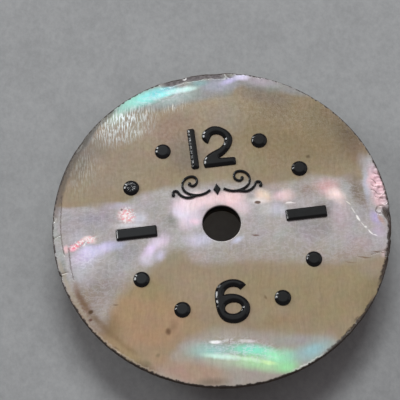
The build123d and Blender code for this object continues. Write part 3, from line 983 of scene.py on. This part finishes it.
def drawn_copper():
    """Copper wire, stained brown in patches and scored along its length."""
    shade = Shade("drawn_copper")
    stain = shade.noise(shade.stretch(shade.place, (4, 4, 1.2)), 1.4, 4, 0.6)
    colour = shade.mix(shade.fit(stain, 0.35, 0.7), (0.70, 0.33, 0.18, 1), (0.28, 0.13, 0.08, 1))
    scores = shade.noise(shade.stretch(shade.place, (24, 24, 0.8)), 2.0, 3, 0.6)
    rough = shade.fit(stain, 0.3, 0.7, 0.26, 0.48)
    normal = shade.bump(scores, 0.008, 0.5)
    return shade.finish(Base_Color=colour, Metallic=METALLIC, Roughness=rough, Normal=normal)


def shellac():
    """Aged shellac, amber and a little cloudy."""
    shade = Shade("aged_shellac")
    cloud = shade.noise(shade.place, 3.0, 4, 0.6)
    colour = shade.mix(cloud, (0.34, 0.20, 0.07, 1), (0.50, 0.36, 0.17, 1))
    return shade.finish(Base_Color=colour, Roughness=shade.fit(cloud, 0.3, 0.7, 0.25, 0.45))


def build_foot(node, material):
    """Foot turned from wire: a braze fillet at the plate, drawn sides and a nipped, domed end."""
    low, high = (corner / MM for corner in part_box(node))
    cx, cy = (low.x + high.x) / 2, (low.y + high.y) / 2
    end = [(0.02, 0.012), (0.12, 0.004), (0.22, 0.0), (0.28, 0.015), (0.32, 0.045), (FOOT_R, 0.10),
           (FOOT_R, 0.5)]
    fillet = [(0, -1.0), (0, -0.45), (0, -0.26), (0.02, -0.16), (0.06, -0.08), (0.12, -0.03),
              (0.22, -0.006), (0.24, 0.02)]
    profile = [(radius, low.z + height) for radius, height in end]
    profile += [(FOOT_R + extra, height) for extra, height in fillet]
    profile.append((0.02, 0.03))
    angle = np.linspace(0, 2 * math.pi, FOOT_AROUND, endpoint=False)
    nip = NIP_DEPTH * np.sin(2 * angle + cx)
    rings = []
    for radius, height in profile:
        share = np.clip((low.z + NIP_LENGTH - height) / NIP_LENGTH, 0, 1)
        r = radius * (1 + share * nip)
        x, y = cx + r * np.cos(angle), cy + r * np.sin(angle)
        rings.append(np.stack([x, y, np.full(FOOT_AROUND, height)], axis=1))
    faces = loop_faces(len(rings), FOOT_AROUND)
    faces.append(tuple(range(FOOT_AROUND))[::-1])
    last = (len(rings) - 1) * FOOT_AROUND
    faces.append(tuple(range(last, last + FOOT_AROUND)))
    piece = make_piece(node + "_wire", np.concatenate(rings), faces, material)
    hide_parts(node)


def dress_cad(node, material):
    """Gives a CAD node that stays visible its finished material."""
    mesh = frame["nodes"][node].data
    mesh.materials.clear()
    mesh.materials.append(material)


# ---------------------------------------- floor, lights and camera

# Half the side of the floor in millimetres, and the lights' distance in metres and their colour
FLOOR_REACH = 1200.0
LIGHT_DISTANCE = 0.6
LIGHT_COLOUR = (0.98, 1.0, 1.0)

# Lights: name, angle from 3 o'clock, angle off the dial's axis and angle spanned, all in degrees, and
# the brightness that the light gives a white surface that lies flat
LIGHTS = [
    ("wide_panel", 71, 40, 19, 0.285),
    ("small_panel", 95, 38, 13, 0.265),
    ("left_window", 150, 65, 14, 0.125),
    ("far_left_window", 124, 76, 12, 0.045),
    ("right_panel", 15, 58, 45, 0.04),
]
WORLD_COLOUR, WORLD_STRENGTH = (1.0, 0.90, 0.93, 1), 0.25

# Camera: turn in degrees, and in millimetres its place from the middle of the face along its own axes,
# its lens and its sensor
CAMERA_TURN = (23.12, 0.75, -6.96)
CAMERA_PLACE = (-1.15, 1.23, 82.6)
CAMERA_LENS, CAMERA_SENSOR = 139.8, 36.0


def build_floor():
    """Plain pale paper that the feet stand on."""
    shade = Shade("pale_paper")
    blotches = shade.noise(shade.place, 0.30, 3, 0.6)
    fibre = shade.noise(shade.stretch(shade.place, (1.3, 1.0, 1), 15), 2.6, 5, 0.75)
    value = shade.math("ADD", shade.times(blotches, 0.4), shade.times(fibre, 0.6))
    colour = shade.mix(shade.fit(value, 0.25, 0.75), tone(136, 138, 139), tone(157, 159, 160))
    specks = shade.fit(shade.cells(shade.place, 0.14), 0.0, 0.035, 0.45, 0)
    colour = shade.mix(specks, colour, tone(96, 94, 96))
    material = shade.finish(Base_Color=colour, Roughness=0.9, Normal=shade.bump(fibre, 0.03, 0.3))
    reach, z = FLOOR_REACH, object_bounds()[0].z / MM
    mesh = bpy.data.meshes.new("floor")
    corners = [(-reach, -reach, z), (reach, -reach, z), (reach, reach, z), (-reach, reach, z)]
    mesh.from_pydata([Vector(c) * MM for c in corners], [], [(0, 1, 2, 3)])
    mesh.materials.append(material)
    floor = bpy.data.objects.new("floor", mesh)
    bpy.context.scene.collection.objects.link(floor)


def add_light(name, compass, off_axis, spread, share):
    """Square panel that faces the dial, far enough away to light the paper evenly."""
    compass, off_axis = math.radians(compass), math.radians(off_axis)
    away = Vector((math.sin(off_axis) * math.cos(compass), math.sin(off_axis) * math.sin(compass),
                   math.cos(off_axis)))
    data = bpy.data.lights.new(name, "AREA")
    data.energy = math.pi ** 2 * share * LIGHT_DISTANCE ** 2 / away.z
    data.color = LIGHT_COLOUR
    data.size = 2 * LIGHT_DISTANCE * math.tan(math.radians(spread / 2))
    light = bpy.data.objects.new(name, data)
    light.location = away * LIGHT_DISTANCE
    light.rotation_euler = away.to_track_quat("Z", "Y").to_euler()
    light.visible_camera = False
    bpy.context.scene.collection.objects.link(light)


def add_world():
    """Faint even light from all round."""
    world = bpy.data.worlds.new("studio")
    world.use_nodes = True
    background = world.node_tree.nodes["Background"]
    background.inputs["Color"].default_value = WORLD_COLOUR
    background.inputs["Strength"].default_value = WORLD_STRENGTH
    bpy.context.scene.world = world


def add_camera():
    """Camera on the 6 o'clock side, 23 degrees off the dial's axis and rolled a little."""
    data = bpy.data.cameras.new("camera")
    data.sensor_width, data.lens = CAMERA_SENSOR, CAMERA_LENS
    data.clip_start, data.clip_end = 0.005, 10.0
    camera = bpy.data.objects.new("camera", data)
    turn = Euler([math.radians(angle) for angle in CAMERA_TURN])
    offset = turn.to_matrix() @ Vector(CAMERA_PLACE)
    camera.location = (Vector((0, 0, FACE_Z)) + offset) * MM
    camera.rotation_euler = turn
    bpy.context.scene.collection.objects.link(camera)
    bpy.context.scene.camera = camera


# ---------------------------------------- build

bpy.context.scene.view_settings.view_transform = "Standard"
build_pearl(nacre())
black = enamel()
for mark in sorted(frame["nodes"]):
    if mark.startswith(tuple(MARK_EDGES)):
        build_mark(mark, black)
copper = drawn_copper()
for foot in ("dial_foot_left", "dial_foot_right"):
    build_foot(foot, copper)
dress_cad("backing_plate", turned_brass())
dress_cad("adhesive_film", shellac())
build_floor()
for light in LIGHTS:
    add_light(*light)
add_world()
add_camera()
